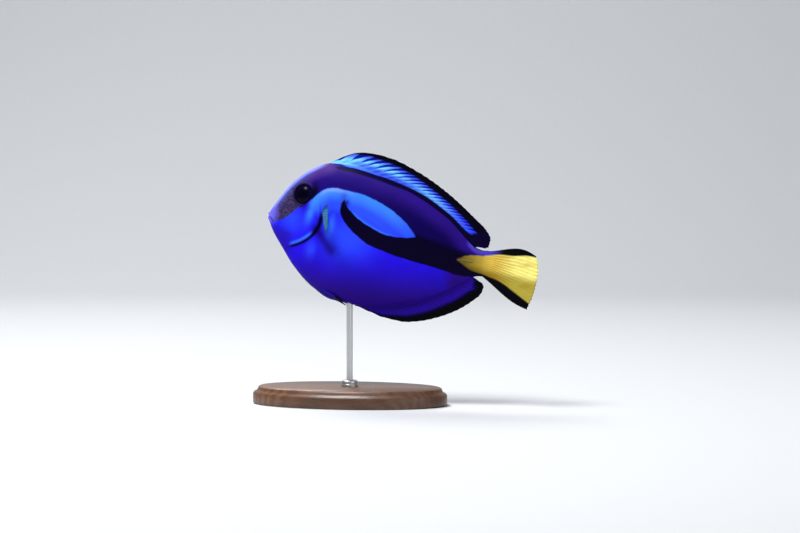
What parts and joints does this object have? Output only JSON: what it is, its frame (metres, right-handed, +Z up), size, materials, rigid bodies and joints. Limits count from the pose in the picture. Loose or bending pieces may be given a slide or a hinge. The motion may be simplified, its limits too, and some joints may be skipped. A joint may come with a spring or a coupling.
{
  "type": "regal blue tang",
  "caption": "Still, life-size young regal blue tang, a deep oval reef fish with a fan-shaped tail, swimming nose up on a plain oval display stand.",
  "frame": {"origin": "centre of the flat underside of the stand's base", "axes": "+Z up, the snout towards -X and the tail towards +X, the fish's left side towards -Y"},
  "size_m": [0.1469, 0.062, 0.1265],
  "materials": {
    "skin": "wet, finely scaled blue skin with a black band",
    "eye": "polished, near black",
    "fin": "thin, ribbed blue membrane with a black edge",
    "tail_fin": "ribbed yellow fan with black upper and lower edges",
    "tail_spine": "smooth pale horn",
    "stand_base": "satin walnut",
    "stand_metal": "brushed"
  },
  "bodies": {
    "root": {"head": "skin", "trunk": "skin", "tail_stem": "skin", "eye_left": "eye", "eye_right": "eye", "dorsal_fin": "fin", "anal_fin": "fin", "tail_fin": "tail_fin", "pectoral_fin_left": "fin", "pectoral_fin_right": "fin", "pelvic_fin_left": "fin", "pelvic_fin_right": "fin", "tail_spine_left": "tail_spine", "tail_spine_right": "tail_spine", "stand_base": "stand_base", "stand_collar": "stand_metal", "stand_rod": "stand_metal"}
  },
  "joints": []
}
